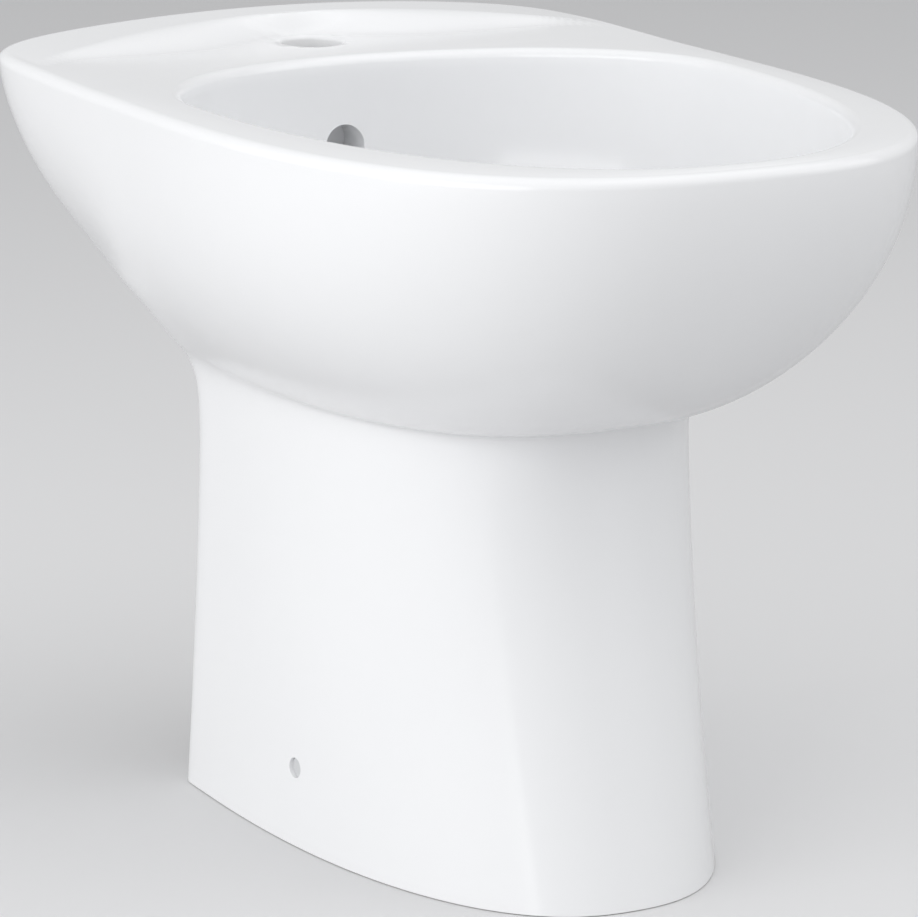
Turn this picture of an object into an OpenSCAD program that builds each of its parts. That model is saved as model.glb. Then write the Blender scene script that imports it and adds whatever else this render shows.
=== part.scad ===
// Floor standing bidet: a one-piece glazed china body, its click waste and its hidden floor fixings.
// Millimetres. X runs across, -Y is the front, +Y the wall side, Z = 0 is the finished floor.

/* [Body] */
// Overall width at the rim
body_w = 368; // [355:0.5:380]
// Overall length, front tip to wall side
body_l = 536; // [522:1:550]
// Height of the rim plane
rim_h = 400; // [390:1:415]
// Distance of the widest point of the rim behind the middle
rim_wide_y = 39.5; // [34:0.5:46]
// Radius of the outer rim edge, at the front and the sides
rim_edge_r = 6; // [4:0.5:9]
// Fall of the rim towards its outer edge
rim_crown = 1.2; // [0:0.1:2.5]
// Radius of the outer rim edge on the wall side
back_edge_r = 4; // [2.5:0.5:6]
// Height of the raised lip on the wall side, above the rim plane
lip_h = 12; // [8:0.5:14]
// Half width over which the lip arches down to the rim plane
lip_reach = 175; // [166:1:182]
// Flat top of the lip, front to back
lip_top = 27; // [20:1:32]
// Distance by which the front of the lip bows forward at its ends
lip_bow = 48; // [40:1:54]
// Length of the slope that rises to the lip
lip_slope = 46; // [38:1:50]
// Thickness of the china walls
wall = 12; // [10:0.5:14]
// Thickness of the tap deck
deck_t = 18; // [15:0.5:22]
// Radius of the soft groove between bowl and pedestal, at the front
crease_r = 6; // [4:0.5:9]
// Radius of the same groove on the wall side
crease_back_r = 29; // [20:0.5:34]
// Fullness of the two rear corners of the bowl
cheek_t = 3; // [0:0.2:5]

/* [Bowl] */
// Width of the bowl opening
bowl_w = 309; // [298:0.5:316]
// Rim width at the front tip
rim_front = 17.5; // [14:0.5:21]
// Depth of the deck between the bowl opening and the wall side
deck_l = 105; // [100:1:112]
// Distance of the widest point of the bowl opening behind the middle
bowl_wide_y = 25; // [18:0.5:32]
// Depth of the bowl below the rim plane
bowl_depth = 138; // [130:1:142]
// Distance by which the back wall of the bowl swells out below its edge
bowl_swell = 10; // [6:0.5:12]
// Radius of the inner rim edge
bowl_edge_r = 5; // [3.5:0.5:6]

/* [Pedestal] */
// Height of the crease between the bowl and the pedestal
crease_h = 243.5; // [236:0.5:252]
// Width at the crease
crease_w = 221.5; // [214:0.5:228]
// Distance of the crease front from the middle
crease_front = 119.5; // [112:0.5:126]
// Distance of the crease back from the middle
crease_back = 146.5; // [142:0.5:152]
// Width at the floor
foot_w = 233; // [226:0.5:240]
// Distance of the foot front from the middle
foot_front = 167; // [158:0.5:174]
// Distance of the foot back from the middle
foot_back = 146; // [142:0.5:150]
// Width of the open back
back_open_w = 168; // [150:1:176]
// Height of the top of the open back
back_open_h = 352; // [340:1:358]

/* [Holes] */
// Tap hole diameter
tap_d = 35; // [33:0.5:36]
// Distance of the tap hole from the wall side
tap_back = 55; // [50:0.5:58]
// Rounding of the tap hole edge
tap_edge_r = 2.4; // [1:0.2:3]
// Overflow hole diameter
overflow_d = 23; // [20:0.5:25]
// Depth of the overflow centre below the rim plane
overflow_drop = 55; // [52:0.5:60]
// Bore of the overflow channel that leads to the waste
channel_d = 16; // [12:0.5:18]
// Side fixing hole diameter
side_hole_d = 11; // [10:0.5:12]
// Height of the side fixing holes
side_hole_z = 43; // [38:0.5:48]
// Distance of the side fixing holes behind the middle
side_hole_y = 7.5; // [0:0.5:14]

/* [Waste] */
// Waste hole diameter
drain_d = 46; // [45:0.5:47]
// Distance of the waste hole behind the middle
drain_y = 60; // [54:1:64]
// Depth of the waste hole wall
drain_t = 38; // [34:0.5:42]
// Outside diameter of the G1 1/4 waste thread
thread_d = 41.9; // [41.5:0.1:42.2]
// Wall of the waste tube
tube_wall = 2.9; // [2.4:0.1:3.4]
// Flange diameter
flange_d = 64; // [61:0.5:66]
// Flange thickness
flange_t = 3; // [2.5:0.1:3.6]
// Length of threaded tail left free for the trap
tail_l = 20; // [16:0.5:24]
// Travel of the click plug
plug_travel = 8.5; // [6:0.5:9]
// Plug cap diameter
cap_d = 60; // [56:0.5:62]
// Thickness of the flat rubber gaskets
gasket_t = 1.5; // [1:0.1:2]
// Height of the tapered gasket below the china
body_gasket_t = 6; // [5:0.5:8]
// Height of the back nut
backnut_t = 10; // [8:0.5:12]
// Size of the back nut across its flats
backnut_af = 52; // [50:0.5:56]

/* [Fixings] */
// Side screw shank diameter
screw_d = 5; // [4.5:0.1:5.5]
// Side screw head diameter
screw_head_d = 8.4; // [7.8:0.1:8.6]
// Side screw head height
screw_head_t = 3; // [2.5:0.1:3.5]
// Depth of the cover cap face below the china
cap_inset = 1.2; // [0.8:0.1:2]
// Thickness of the cover cap
cover_cap_t = 2.5; // [2:0.1:3]
// Bracket length, front to back
bracket_l = 60; // [50:1:70]
// Bracket foot width
bracket_foot_w = 42; // [38:1:48]
// Bracket plate thickness
bracket_t = 6; // [5:0.5:7]
// Bracket height
bracket_h = 62; // [58:1:70]
// Floor screw hole diameter
floor_hole_d = 8.5; // [7:0.5:9]

/* [Hidden] */
$fn = 64;

// Clearance of a sliding or threaded fit, on the radius
fit = 0.05;
// Clearance between pieces that are free of each other
free = 0.3;
// Overlap that lets a cut run past a face
over = 1;

china = "#f3f4f6";
rubber = "#26282a";
chrome = "#c9ccd0";
brass = "#c2a35c";
plastic = "#e3e4e4";
steel = "#a9adb1";

// An outline is [half width, y of its widest point, reach forward, reach back, front power,
// back power]. A high power gives a square corner.
rim = [body_w/2, rim_wide_y, body_l/2 + rim_wide_y, body_l/2 - rim_wide_y, 2.63, 10];
bowl = [bowl_w/2, bowl_wide_y, body_l/2 - rim_front + bowl_wide_y,
  body_l/2 - deck_l - bowl_wide_y, 2.24, 1.81];
crease_y = crease_back - 41;
crease = [crease_w/2, crease_y, crease_front + crease_y, 41, 2.62, 4.1];
foot_y = foot_back - 34;
foot = [foot_w/2, foot_y, foot_front + foot_y, 34, 2.34, 9];

tap_y = body_l/2 - tap_back;
bowl_z = rim_h - bowl_depth;
deck_z = rim_h - deck_t;
drain_r = drain_d/2;
seat_r = flange_d/2 + 4;
boss_r = seat_r + 2;
boss_z = bowl_z - drain_t;
overflow_z = rim_h - overflow_drop;

// Angles round an outline, from the front tip to the wall side, closer where the corners are
HALF = [for (a = [0:4:36]) a, for (a = [42:8:90]) a, for (a = [95:4.5:131]) a,
  for (a = [134:3:155]) a, 161, 167, 173.5];
ANGLES = concat(HALF, [180], [for (i = [len(HALF) - 1:-1:1]) 360 - HALF[i]]);
N = len(ANGLES);

function mix(p, q, t) = p + (q - p)*t;
function clamp(t) = max(0, min(1, t));
function smooth(t) = clamp(t)*clamp(t)*(3 - 2*clamp(t));

// Point of outline o at angle a, moved out by d
function oval(o, a, d = 0) =
  let (front = cos(a) >= 0)
  let (l = (front ? o[2] : o[3]) + d)
  let (n = front ? o[4] : o[5])
  let (r = 1/pow(pow(abs(cos(a))/l, n) + pow(abs(sin(a))/(o[0] + d), n), 1/n))
  [r*sin(a), o[1] - r*cos(a)];

// Height of the deck: flat, with an arched lip on the wall side and a slope in front of it that is
// long beside the tap hole, steep behind it and short at the ends
function deck(p) =
  let (u = pow(p[0]/lip_reach, 2))
  let (slope = lip_slope*max(0.15, 1 - 1.1*u)*(1 - 0.8*exp(-pow(p[0]/55, 2))))
  let (rise = smooth((p[1] - (body_l/2 - lip_top - lip_bow*u - slope))/slope))
  rim_h + lip_h*max(0, 1 - u)*rise;

// Bulge of the bowl's outside, from the crease (0) to the rim (1), for its front, side and back
function bulge(t, p, q) = pow(1 - pow(1 - clamp(t), p), 1/q);
function hull_share(a, t) =
  let (c = cos(a) >= 0 ? cos(a)*cos(a) : 1 - pow(sin(a)*sin(a), 1.25))
  let (e = cos(a) >= 0 ? [1.87, 1.59] : [1, 2.25])
  bulge(t, mix(2.9, e[0], c), mix(1, e[1], c));
function hull_at(a, z, d = 0) =
  mix(oval(crease, a, d), oval(rim, a, d), hull_share(a, (z - crease_h)/(rim_h - crease_h)));
function foot_share(z) = pow(clamp(1 - z/crease_h), 1.45);
function pedestal_at(a, z, d = 0) = mix(oval(crease, a, d), oval(foot, a, d), foot_share(z));

// Half width of the pedestal at y and height z, ahead of its widest point
function width_at(o, y, d) = (o[0] + d)*pow(1 - pow(clamp((o[1] - y)/(o[2] + d)), o[4]), 1/o[4]);
function side_x(y, z, d = 0) =
  mix(width_at(crease, y, d), width_at(foot, y, d), foot_share(z));

// The soft groove at the crease is filled by this much, most on the wall side
function groove_r(a) = mix(crease_r, crease_back_r, pow((1 - cos(a))/2, 2.2));
function fillet(a, z) = 0.4*groove_r(a)*exp(-abs(z - crease_h)/groove_r(a));
function cheek(a, t) = cheek_t*exp(-pow((60 - abs(180 - a))/18, 2) - pow((t - 0.3)/0.064, 2));

// Bowl inside: a flat round seat at the waste hole that opens out to the rim
function bowl_share(t) = pow(1 - pow(1 - clamp(t), 2.6), 1/2.2);
function seat(a, r) = [r*sin(a), drain_y - r*cos(a)];
function bowl_at(a, z, d = 0) =
  let (t = clamp((z - bowl_z)/(rim_h - bowl_edge_r - bowl_z)))
  let (swell = bowl_swell*smooth(-cos(a))*sin(180*pow(t, 1.25)))
  mix(seat(a, seat_r + d), oval(bowl, a, d + swell), bowl_share(t));

// Height to which the hollow below the bowl rises at angle a: low in front, the deck behind
function hollow_top(a) =
  mix(bowl_z + 8, deck_z, smooth((abs(180 - a) > 85 ? 0 : 85 - abs(180 - a))/32));

// Edge radii of the rim, smaller where the rim is narrow
function rim_band(a) = norm(oval(rim, a) - oval(bowl, a));
function inner_r(a) = min(bowl_edge_r, 0.3*rim_band(a));
function outer_r(a) =
  min(mix(rim_edge_r, back_edge_r, smooth((abs(180 - a) > 48 ? 0 : 48 - abs(180 - a))/16)), 0.6*rim_band(a));

// The rim falls a little towards its outer edge, but not on the wall side
function crown(a) = rim_crown*smooth((abs(180 - a) - 40)/30);

function lift(p, z) = [p[0], p[1], z];

// Rings of points, from the middle of the bowl over the rim and down to the floor, then up the
// inside and under the bowl
bowl_steps = [0, 0.02, 0.06, 0.13, 0.23, 0.36, 0.52, 0.7, 0.87, 1];
bowl_rings = [for (t = bowl_steps)
  let (z = mix(bowl_z, rim_h - bowl_edge_r, t))
  [for (a = ANGLES) lift(bowl_at(a, z), z)]];
inner_edge = [for (b = [30, 60, 90])
  [for (a = ANGLES)
    let (p = oval(bowl, a, inner_r(a)*(1 - cos(b))))
    lift(p, deck(p) - inner_r(a)*(1 - sin(b)))]];
deck_rings = [for (t = [0.12, 0.25, 0.38, 0.51, 0.63, 0.74, 0.84, 0.93, 1])
  [for (a = ANGLES)
    let (p = mix(oval(bowl, a, inner_r(a)), oval(rim, a, -outer_r(a)), t))
    lift(p, deck(p) - crown(a)*t*t)]];
outer_edge = [for (b = [25, 50, 75])
  [for (a = ANGLES)
    let (p = oval(rim, a, outer_r(a)*(sin(b) - 1)))
    lift(p, deck(p) - crown(a) - outer_r(a)*(1 - cos(b)))]];
hull_steps = [0.9, 0.82, 0.72, 0.6, 0.49, 0.4, 0.34, 0.29, 0.23, 0.17, 0.12, 0.075, 0.035, 0.012, 0];
hull_rings = [for (t = hull_steps)
  let (z = mix(crease_h, rim_h, t))
  [for (a = ANGLES) lift(hull_at(a, z, fillet(a, z) + cheek(a, t)), z)]];
pedestal_rings = [for (t = [0.97, 0.92, 0.84, 0.72, 0.55, 0.35, 0.17, 0])
  let (z = crease_h*t)
  [for (a = ANGLES) lift(pedestal_at(a, z, fillet(a, z)), z)]];
inner_pedestal = [for (t = [0, 0.35, 0.7, 1])
  [for (a = ANGLES) lift(pedestal_at(a, crease_h*t, -wall), crease_h*t)]];
inner_hull = [for (t = [0.2, 0.45, 0.75, 1])
  [for (a = ANGLES)
    let (z = mix(crease_h, hollow_top(a), t))
    lift(hull_at(a, z, -wall), z)]];
under_deck = [for (t = [0.5])
  [for (a = ANGLES)
    let (z = hollow_top(a))
    lift(mix(hull_at(a, z, -wall), bowl_at(a, z + wall, wall*0.7), t), z)]];
under_bowl = [for (t = [1, 0.75, 0.5, 0.3, 0.15, 0.05, 0])
  [for (a = ANGLES)
    let (z = mix(bowl_z - wall, hollow_top(a), t))
    lift(bowl_at(a, z + wall, wall*0.7), z)]];
RINGS = concat(bowl_rings, inner_edge, deck_rings, outer_edge, hull_rings, pedestal_rings,
  inner_pedestal, inner_hull, under_deck, under_bowl);

// A closed skin over rings that hold the same number of points
module skin(rings, n) {
  points = [for (r = rings) each r];
  last = (len(rings) - 1)*n;
  sides = [for (i = [0:len(rings) - 2], j = [0:n - 1])
    let (k = (j + 1) % n)
    let (a = i*n + j, b = i*n + k, c = a + n, d = b + n)
    each [[a, b, c], [b, d, c]]];
  first_cap = [for (j = [1:n - 2]) [0, j + 1, j]];
  last_cap = [for (j = [1:n - 2]) [last, last + j, last + j + 1]];
  polyhedron(points = points, faces = concat(first_cap, sides, last_cap), convexity = 12);
}

// A rod of radius r between two points of the plane x = 0, run on past the second
module rod(p, q, r, past = 0) {
  d = q - p;
  translate(p) rotate([-atan2(d[1], d[2]), 0, 0]) cylinder(r = r, h = norm(d) + past);
}

// Trumpet that rounds the edge of a hole of radius r with edge radius e, mouth up at z = 0
module hole_edge(r, e) {
  rotate_extrude() difference() {
    translate([0, -e]) square([r + e, e + over]);
    translate([r + e, -e]) circle(r = e);
  }
}

// The overflow channel drops behind the bowl wall, then runs forward to the side of the waste hole
overflow_y = bowl_at(180, overflow_z)[1];
channel_top = [0, overflow_y + wall*0.8 + channel_d/2, overflow_z];
channel_bend = [0, bowl_at(180, bowl_z + 22)[1] + wall + channel_d + 2, bowl_z + 10];
channel_foot = [0, drain_y + drain_r - 2, boss_z + channel_d/2 + 3];
channel_wall = 4.5;
// Two rods that run on past the bend, so that its outer corner is full
module channel(r) {
  rod(channel_top, channel_bend, r, r*0.52);
  rod(channel_foot, channel_bend, r - 0.4, r*0.52);
}

module ceramic_body() {
  color(china) difference() {
    union() {
      difference() {
        skin(RINGS, N);
        back_opening();
      }
      translate([0, drain_y, boss_z]) cylinder(r = boss_r, h = drain_t - wall/2);
      channel(channel_d/2 + channel_wall);
      translate([0, overflow_y + 4, overflow_z]) rotate([-90, 0, 0])
        cylinder(d = overflow_d + 8, h = channel_top[1] - overflow_y + channel_d/2);
    }
    translate([0, tap_y, deck_z - over]) cylinder(d = tap_d, h = deck_t + lip_h + 2*over);
    translate([0, tap_y, rim_h]) hole_edge(tap_d/2, tap_edge_r);
    translate([0, drain_y, boss_z - over]) cylinder(r = drain_r, h = drain_t + 2*over);
    channel(channel_d/2);
    translate([0, overflow_y - 20, overflow_z]) rotate([-90, 0, 0])
      cylinder(d = overflow_d, h = channel_top[1] - overflow_y + 20 + channel_d/2 - 1);
    translate([0, side_hole_y, side_hole_z]) rotate([0, 90, 0])
      cylinder(d = side_hole_d, h = foot_w + 2*over, center = true);
  }
}

// The open back: straight sides and a round top, seen from the wall. It stops behind the bowl.
function back_cut(z) = mix(bowl_at(180, z + wall, wall*0.7)[1], hull_at(180, z, -wall)[1], 0.4);
module back_opening() {
  r = back_open_w/2;
  back = body_l/2 + over;
  inner = min(foot_back, crease_back) - wall - 19;
  intersection() {
    translate([0, back, 0]) rotate([90, 0, 0]) linear_extrude(back - inner) {
      translate([-r, -over]) square([2*r, back_open_h - r + over]);
      translate([0, back_open_h - r]) circle(r = r);
    }
    rotate([90, 0, 90]) linear_extrude(2*r + 2*over, center = true)
      polygon(concat([[back, back_open_h + over], [back, -over], [inner, -over], [inner, crease_h - 20]],
        [for (z = [crease_h:18:back_open_h]) [back_cut(z), z]],
        [[back_cut(back_open_h), back_open_h + over]]));
  }
}

// Waste heights, from the flange down
flange_z = bowl_z + gasket_t;
flange_top = flange_z + flange_t;
tube_r = thread_d/2;
tube_in = tube_r - tube_wall;
washer_t = 2;
nut_z = boss_z - body_gasket_t - washer_t - backnut_t;
groove_l = 2;
tube_z = nut_z - 4 - groove_l - tail_l;
spider_t = 8;
spider_z = boss_z + 4;
hub_r = 8;
spigot_r = 5;

module waste_body() {
  color(chrome) translate([0, drain_y, 0]) {
    difference() {
      rotate_extrude() difference() {
        union() {
          translate([tube_in, tube_z]) square([tube_wall, flange_top - tube_z]);
          translate([tube_in, flange_z]) square([flange_d/2 - 1.5 - tube_in, flange_t]);
          translate([flange_d/2 - 1.5, flange_z]) square([1.5, flange_t - 1.5]);
          translate([flange_d/2 - 1.5, flange_top - 1.5]) circle(r = 1.5);
        }
        translate([tube_r - 0.6, tube_z + tail_l]) square([1, groove_l]);
        translate([tube_in - 0.01, flange_top + 0.01]) polygon([[0, 0], [3, 0], [0, -3]]);
      }
      for (turn = [45:90:315]) rotate(turn)
        translate([tube_in - over, -6, boss_z + spider_t + 8]) cube([tube_wall + 2*over, 12, 10]);
    }
    difference() {
      translate([0, 0, spider_z]) intersection() {
        union() {
          cylinder(r = hub_r, h = spider_t);
          for (turn = [0, 90]) rotate(turn)
            translate([-tube_r, -1.5, 0]) cube([2*tube_r, 3, spider_t]);
        }
        cylinder(r = tube_in + 0.5, h = spider_t);
      }
      translate([0, 0, spider_z - over]) cylinder(r = spigot_r, h = spider_t + 2*over);
    }
  }
}

module ring(r_in, r_out, h) {
  rotate_extrude() translate([r_in, 0]) square([r_out - r_in, h]);
}

module flange_gasket() {
  color(rubber) translate([0, drain_y, bowl_z]) ring(tube_r + fit, flange_d/2 - 1, gasket_t);
}

module body_gasket() {
  color(rubber) translate([0, drain_y, boss_z - body_gasket_t]) rotate_extrude()
    polygon([[tube_r + fit, 0], [seat_r - 3, 0], [seat_r - 5, body_gasket_t],
      [tube_r + fit, body_gasket_t]]);
}

module slip_washer() {
  color(plastic) translate([0, drain_y, nut_z + backnut_t]) ring(tube_r + fit, seat_r - 3, washer_t);
}

module backnut() {
  color(brass) translate([0, drain_y, nut_z]) difference() {
    cylinder(r = backnut_af/2/cos(30), h = backnut_t, $fn = 6);
    translate([0, 0, -over]) cylinder(r = tube_r + fit, h = backnut_t + 2*over);
  }
}

// Click cartridge: a housing screwed into the waste, a sprung stem in it, and the cap on the stem
house_r = 6.6;
house_bore = 4.1;
house_z = spider_z + spider_t;
house_top = flange_top - 6;
stem_r = house_bore - fit;
seal_t = 2.5;
seal_z = flange_top + plug_travel + free;
stem_z = house_z + 4 + plug_travel + 6;
spring_z = house_z + 2.5;
spring_r = 3;
wire_r = 0.45;
spring_turns = 5;

module cartridge_housing() {
  color(brass) translate([0, drain_y, 0]) difference() {
    union() {
      translate([0, 0, spider_z]) cylinder(r = spigot_r - fit, h = spider_t + over);
      translate([0, 0, house_z]) cylinder(r = house_r, h = house_top - house_z);
    }
    translate([0, 0, spring_z]) cylinder(r = house_bore, h = house_top);
  }
}

// The spring stands on the floor of the bore and bears on the stem
module plug_spring() {
  lo = spring_z + wire_r;
  hi = stem_z - wire_r;
  steps = spring_turns*24;
  rings = [for (i = [0:steps])
    let (a = i*15, z = mix(lo, hi, i/steps))
    [for (b = [0:60:300])
      [(spring_r + wire_r*cos(b))*cos(a), (spring_r + wire_r*cos(b))*sin(a), z + wire_r*sin(b)]]];
  color(steel) translate([0, drain_y, 0]) skin(rings, 6);
}

module plug_stem() {
  color(brass) translate([0, drain_y, 0]) {
    translate([0, 0, stem_z]) cylinder(r = stem_r, h = seal_z + seal_t - stem_z);
    translate([0, 0, seal_z + seal_t - 0.01]) cylinder(r = 2.5, h = 3);
  }
}

module plug_seal() {
  color(rubber) translate([0, drain_y, seal_z]) ring(tube_in + 4, tube_r + 4, seal_t);
}

module plug_cap() {
  cap_r = cap_d/2;
  cap_z = seal_z + seal_t;
  dome_r = (cap_r*cap_r + 9)/6;
  color(chrome) translate([0, drain_y, cap_z]) difference() {
    rotate_extrude() intersection() {
      union() {
        square([cap_r, 2]);
        translate([0, 5 - dome_r]) intersection() {
          circle(r = dome_r, $fn = 200);
          translate([0, dome_r - 3]) square([cap_r, 3]);
        }
      }
      square([cap_r, 10]);
    }
    translate([0, 0, -over]) cylinder(r = 2.5 + fit, h = 3.2 + over);
  }
}

// Floor fixings, left and right of the pedestal, hidden inside it
face_x = side_x(side_hole_y, side_hole_z);
bracket_x = side_x(side_hole_y - bracket_l/2, bracket_h, -wall) - 2*free;
bracket_boss_r = 9;
boss_x = side_x(side_hole_y - bracket_boss_r, side_hole_z + bracket_boss_r, -wall) - free;
nut_af = 8;
nut_t = 4;
nut_x = bracket_x - bracket_t - nut_t - 2;
floor_hole_x = bracket_x - bracket_foot_w + 14;

module bracket() {
  difference() {
    union() {
      translate([bracket_x - bracket_foot_w, side_hole_y - bracket_l/2, 0])
        cube([bracket_foot_w, bracket_l, bracket_t]);
      translate([bracket_x - bracket_t, side_hole_y - bracket_l/2 + 12, 0])
        cube([bracket_t, bracket_l - 24, bracket_h]);
      for (s = [-1, 1]) translate([bracket_x, side_hole_y + s*(bracket_l/2 - 15), bracket_t])
        rotate([90, 0, 0]) linear_extrude(3, center = true)
          polygon([[0, 0], [4 - bracket_foot_w, 0], [-bracket_t, bracket_h*0.7], [0, bracket_h*0.7]]);
      along_x(nut_x) cylinder(r = bracket_boss_r, h = boss_x - nut_x);
    }
    along_x(nut_x - over) cylinder(r = screw_d/2 + 0.4, h = boss_x - nut_x + 2*over);
    along_x(nut_x - over) cylinder(r = nut_af/2/cos(30) + fit, h = nut_t + over, $fn = 6);
    translate([floor_hole_x, side_hole_y, -over]) cylinder(d = floor_hole_d, h = bracket_t + 2*over);
  }
}

module bracket_right() {
  color(plastic) bracket();
}

module bracket_left() {
  color(plastic) mirror([1, 0, 0]) bracket();
}

module both_sides() {
  children();
  mirror([1, 0, 0]) children();
}

module along_x(x) {
  translate([x, side_hole_y, side_hole_z]) rotate([0, 90, 0]) children();
}

module bracket_nuts() {
  color(steel) both_sides() along_x(nut_x) difference() {
    cylinder(r = nut_af/2/cos(30), h = nut_t, $fn = 6);
    translate([0, 0, -over]) cylinder(r = screw_d/2 + fit, h = nut_t + 2*over);
  }
}

// The sleeve lines the hole in the china and carries the screw head
sleeve_r = side_hole_d/2 - fit;
cap_x = face_x - cap_inset - cover_cap_t;
head_x = cap_x - 0.5 - screw_head_t;

module side_sleeves() {
  color(plastic) both_sides() along_x(boss_x) difference() {
    cylinder(r = sleeve_r, h = cap_x - boss_x);
    translate([0, 0, -over]) cylinder(r = screw_d/2 + 0.3, h = cap_x);
    translate([0, 0, head_x - boss_x]) cylinder(r = screw_head_d/2 + 0.3, h = cap_x);
  }
}

module side_screws() {
  color(steel) both_sides() {
    along_x(head_x) difference() {
      cylinder(d = screw_head_d, h = screw_head_t);
      translate([0, 0, screw_head_t - 1.6]) cylinder(r = 2, h = 3, $fn = 6);
    }
    along_x(nut_x) cylinder(d = screw_d, h = head_x + 1 - nut_x);
  }
}

module cover_caps() {
  color(plastic) both_sides() along_x(cap_x) cylinder(r = sleeve_r, h = cover_cap_t);
}

ceramic_body();
waste_body();
flange_gasket();
body_gasket();
slip_washer();
backnut();
cartridge_housing();
plug_spring();
plug_stem();
plug_seal();
plug_cap();
bracket_left();
bracket_right();
bracket_nuts();
side_sleeves();
side_screws();
cover_caps();
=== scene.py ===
import math
import bpy
import bmesh
import numpy as np
from mathutils import Matrix, Vector


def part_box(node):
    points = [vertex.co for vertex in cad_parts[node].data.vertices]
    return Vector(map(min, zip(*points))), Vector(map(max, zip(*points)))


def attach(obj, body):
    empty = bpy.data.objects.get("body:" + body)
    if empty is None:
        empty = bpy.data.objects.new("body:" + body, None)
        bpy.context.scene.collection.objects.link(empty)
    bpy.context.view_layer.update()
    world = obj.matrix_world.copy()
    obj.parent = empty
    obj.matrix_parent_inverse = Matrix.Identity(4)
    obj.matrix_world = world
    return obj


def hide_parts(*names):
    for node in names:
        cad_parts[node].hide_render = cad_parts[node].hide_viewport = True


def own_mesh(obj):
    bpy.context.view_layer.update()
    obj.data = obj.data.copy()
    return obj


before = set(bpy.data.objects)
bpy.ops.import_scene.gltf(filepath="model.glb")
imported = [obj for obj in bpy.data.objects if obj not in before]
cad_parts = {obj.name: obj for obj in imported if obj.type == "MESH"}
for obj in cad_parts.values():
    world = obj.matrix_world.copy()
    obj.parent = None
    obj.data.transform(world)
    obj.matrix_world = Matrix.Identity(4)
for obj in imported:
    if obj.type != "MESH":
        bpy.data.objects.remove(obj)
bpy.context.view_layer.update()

scene = bpy.context.scene
scene.view_settings.view_transform = "Standard"

# ---------------------------------------------------------------------------
# Viewpoint: the photograph looks down a little on the front left of the
# bidet from about two and a half metres away with a long lens.
# ---------------------------------------------------------------------------
PHOTO_W, FOCAL_PX = 918, 4426.3
camera = bpy.data.objects.new("camera", bpy.data.cameras.new("camera"))
scene.collection.objects.link(camera)
turn, dip = math.radians(-27.16), math.radians(13.65)
ahead = Vector((-math.sin(turn) * math.cos(dip), math.cos(turn) * math.cos(dip), -math.sin(dip)))
camera.location = (-1.0586, -2.03265, 0.7582)
camera.rotation_euler = ahead.to_track_quat("-Z", "Y").to_euler()
camera.data.sensor_width = 36
camera.data.lens = camera.data.sensor_width * FOCAL_PX / PHOTO_W
camera.data.clip_end = 50
scene.camera = camera

# ---------------------------------------------------------------------------
# China body: one casting of vitreous china. It is drawn as rings that run
# from the waste hole up the bowl, over the rim and down the outside to the
# foot, then back up the inside and under the bowl.
# ---------------------------------------------------------------------------
# Outlines: half the width, the place of the middle, the reach to the front and
# to the back, and how square the front and the back are
RIM = (0.184, 0.0395, 0.3075, 0.2285, 2.63, 10.0)
BOWL = (0.1545, 0.025, 0.2755, 0.138, 2.24, 1.81)
CREASE = (0.11075, 0.1055, 0.225, 0.041, 2.62, 4.1)
FOOT = (0.1165, 0.112, 0.279, 0.034, 2.34, 9.0)
RIM_Z, CREASE_Z, BOWL_Z, BACK_Y = 0.400, 0.2435, 0.262, 0.268
WALL, DECK_Z, DRAIN_Y, SEAT_R = 0.012, 0.382, 0.060, 0.036
# Powers of the profiles: how the bowl leaves the crease and arrives at the rim
# at its sides, front and back, the pedestal's curve, and the bowl's inside
LEAVE, ARRIVE, SHAFT_CURVE = (2.9, 1.87, 1.0), (1.0, 1.59, 2.25), 1.45
BASIN_LEAVE, BASIN_ARRIVE, SWELL = 2.6, 2.2, 0.010
# The lip on the wall side, and the fall of the deck towards the bowl
LIP, LIP_REACH, LIP_TOP, LIP_BOW, LIP_SLOPE = 0.012, 0.175, 0.027, 0.048, 0.046
LIP_STEEP, STEEP_REACH = 0.86, 0.055
DECK_FALL, FALL_FROM, FALL_REACH = 0.038, 0.268, 0.095
# Rounding of the rim and crown of its top, and the soft form round the crease
EDGE_IN, EDGE_OUT, EDGE_BACK, CROWN = 0.005, 0.006, 0.004, 0.0012
GROOVE_FRONT, GROOVE_BACK, CHEEK = 0.006, 0.029, 0.003
AROUND, DOWN, SAMPLES = 288, 97, 420


def mix(p, q, t):
    """The way from p to q by the share t."""
    return p + (q - p) * t


def smooth(t):
    """A share that starts and ends gently."""
    t = np.clip(t, 0, 1)
    return t * t * (3 - 2 * t)


def oval(o, a, d=0.0):
    """Points of an outline at the angles a from the front tip, moved out by d."""
    half, mid, forward, back, front_power, back_power = o
    front = np.cos(a) >= 0
    reach = np.where(front, forward, back) + d
    n = np.where(front, front_power, back_power)
    r = ((np.abs(np.cos(a)) / reach) ** n + (np.abs(np.sin(a)) / (half + d)) ** n) ** (-1 / n)
    return np.stack([r * np.sin(a), mid - r * np.cos(a)], -1)


def rise(x, y):
    """Height of the deck over the rim plane: an arched lip on the wall side, steep behind the tap
    hole, and in the middle a shallow fall to the bowl that drains the deck."""
    u = (x / LIP_REACH) ** 2
    slope = LIP_SLOPE * np.maximum(0.15, 1 - 1.1 * u) * (1 - LIP_STEEP * np.exp(-(x / STEEP_REACH) ** 2))
    share = smooth((y - (BACK_Y - LIP_TOP - LIP_BOW * u - slope)) / slope)
    fall = DECK_FALL * np.clip(FALL_FROM - y, 0, 0.12) * np.exp(-(x / FALL_REACH) ** 2)
    return LIP * np.clip(1 - u, 0, None) * share - fall * smooth((y - 0.06) / 0.06)


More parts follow.
